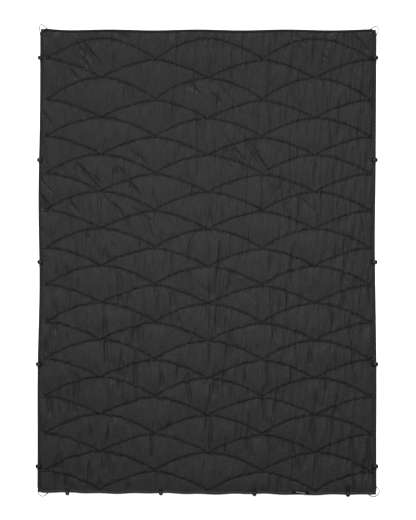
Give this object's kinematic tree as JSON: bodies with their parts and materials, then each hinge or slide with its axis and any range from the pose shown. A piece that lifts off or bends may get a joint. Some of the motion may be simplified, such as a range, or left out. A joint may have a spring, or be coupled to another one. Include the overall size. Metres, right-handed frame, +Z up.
{
  "type": "camp blanket",
  "caption": "Flat quilted camp blanket with scalloped quilting, bound edges, snap tabs along both sides and the foot, and elastic loops at the corners.",
  "frame": {"origin": "middle of the underside, on the surface that the blanket lies on, between the bound edges", "axes": "+X to the right-hand edge seen from above with the head up, +Y to the head, +Z up out of the face"},
  "size_m": [1.3522, 1.8675, 0.0132],
  "materials": {
    "face_fabric": "matte",
    "back_fabric": "matte",
    "binding": "matte",
    "thread": "matte",
    "batting": "matte",
    "ribbon": "matte",
    "label": "matte",
    "elastic_cord": "matte",
    "snap_plastic": "satin"
  },
  "bodies": {
    "blanket": {"back_shell": "back_fabric", "batting": "batting", "binding_thread_back": "thread", "binding_thread_face": "thread", "corner_loop_foot_left": "elastic_cord", "corner_loop_foot_right": "elastic_cord", "corner_loop_head_left": "elastic_cord", "corner_loop_head_right": "elastic_cord", "edge_binding": "binding", "face_shell": "face_fabric", "quilting_thread_back": "thread", "quilting_thread_face": "thread", "woven_label": "label"},
    "tab_left_1": {"snap_tab_left_1": "ribbon", "snap_cap_left_1": "snap_plastic", "snap_socket_left_1": "snap_plastic"},
    "tab_right_1": {"snap_tab_right_1": "ribbon", "snap_cap_right_1": "snap_plastic", "snap_stud_right_1": "snap_plastic"},
    "tab_left_2": {"snap_tab_left_2": "ribbon", "snap_cap_left_2": "snap_plastic", "snap_socket_left_2": "snap_plastic"},
    "tab_right_2": {"snap_tab_right_2": "ribbon", "snap_cap_right_2": "snap_plastic", "snap_stud_right_2": "snap_plastic"},
    "tab_left_3": {"snap_tab_left_3": "ribbon", "snap_cap_left_3": "snap_plastic", "snap_socket_left_3": "snap_plastic"},
    "tab_right_3": {"snap_tab_right_3": "ribbon", "snap_cap_right_3": "snap_plastic", "snap_stud_right_3": "snap_plastic"},
    "tab_left_4": {"snap_tab_left_4": "ribbon", "snap_cap_left_4": "snap_plastic", "snap_socket_left_4": "snap_plastic"},
    "tab_right_4": {"snap_tab_right_4": "ribbon", "snap_cap_right_4": "snap_plastic", "snap_stud_right_4": "snap_plastic"},
    "tab_left_5": {"snap_tab_left_5": "ribbon", "snap_cap_left_5": "snap_plastic", "snap_socket_left_5": "snap_plastic"},
    "tab_right_5": {"snap_tab_right_5": "ribbon", "snap_cap_right_5": "snap_plastic", "snap_stud_right_5": "snap_plastic"},
    "tab_foot_1": {"snap_tab_foot_1": "ribbon", "snap_cap_foot_1": "snap_plastic", "snap_socket_foot_1": "snap_plastic"},
    "tab_foot_2": {"snap_tab_foot_2": "ribbon", "snap_cap_foot_2": "snap_plastic", "snap_socket_foot_2": "snap_plastic"},
    "tab_foot_3": {"snap_tab_foot_3": "ribbon", "snap_cap_foot_3": "snap_plastic", "snap_stud_foot_3": "snap_plastic"},
    "tab_foot_4": {"snap_tab_foot_4": "ribbon", "snap_cap_foot_4": "snap_plastic", "snap_stud_foot_4": "snap_plastic"}
  },
  "joints": [
    {"name": "tab_left_1_lift", "type": "hinge", "parent": "blanket", "child": "tab_left_1", "pos_m": [-0.65, 0.806, 0.0055], "axis": [0, 1, 0], "range_deg": [0, 120]},
    {"name": "tab_right_1_lift", "type": "hinge", "parent": "blanket", "child": "tab_right_1", "pos_m": [0.643, 0.806, 0.0055], "axis": [0, -1, 0], "range_deg": [0, 120]},
    {"name": "tab_left_2_lift", "type": "hinge", "parent": "blanket", "child": "tab_left_2", "pos_m": [-0.65, 0.403, 0.0055], "axis": [0, 1, 0], "range_deg": [0, 120]},
    {"name": "tab_right_2_lift", "type": "hinge", "parent": "blanket", "child": "tab_right_2", "pos_m": [0.643, 0.403, 0.0055], "axis": [0, -1, 0], "range_deg": [0, 120]},
    {"name": "tab_left_3_lift", "type": "hinge", "parent": "blanket", "child": "tab_left_3", "pos_m": [-0.65, 0, 0.0055], "axis": [0, 1, 0], "range_deg": [0, 120]},
    {"name": "tab_right_3_lift", "type": "hinge", "parent": "blanket", "child": "tab_right_3", "pos_m": [0.643, 0, 0.0055], "axis": [0, -1, 0], "range_deg": [0, 120]},
    {"name": "tab_left_4_lift", "type": "hinge", "parent": "blanket", "child": "tab_left_4", "pos_m": [-0.65, -0.403, 0.0055], "axis": [0, 1, 0], "range_deg": [0, 120]},
    {"name": "tab_right_4_lift", "type": "hinge", "parent": "blanket", "child": "tab_right_4", "pos_m": [0.643, -0.403, 0.0055], "axis": [0, -1, 0], "range_deg": [0, 120]},
    {"name": "tab_left_5_lift", "type": "hinge", "parent": "blanket", "child": "tab_left_5", "pos_m": [-0.65, -0.806, 0.0055], "axis": [0, 1, 0], "range_deg": [0, 120]},
    {"name": "tab_right_5_lift", "type": "hinge", "parent": "blanket", "child": "tab_right_5", "pos_m": [0.643, -0.806, 0.0055], "axis": [0, -1, 0], "range_deg": [0, 120]},
    {"name": "tab_foot_1_lift", "type": "hinge", "parent": "blanket", "child": "tab_foot_1", "pos_m": [-0.5535, -0.893, 0.0055], "axis": [-1, 0, 0], "range_deg": [0, 120]},
    {"name": "tab_foot_2_lift", "type": "hinge", "parent": "blanket", "child": "tab_foot_2", "pos_m": [-0.1845, -0.893, 0.0055], "axis": [-1, 0, 0], "range_deg": [0, 120]},
    {"name": "tab_foot_3_lift", "type": "hinge", "parent": "blanket", "child": "tab_foot_3", "pos_m": [0.1845, -0.893, 0.0055], "axis": [-1, 0, 0], "range_deg": [0, 120]},
    {"name": "tab_foot_4_lift", "type": "hinge", "parent": "blanket", "child": "tab_foot_4", "pos_m": [0.5535, -0.893, 0.0055], "axis": [-1, 0, 0], "range_deg": [0, 120]}
  ]
}
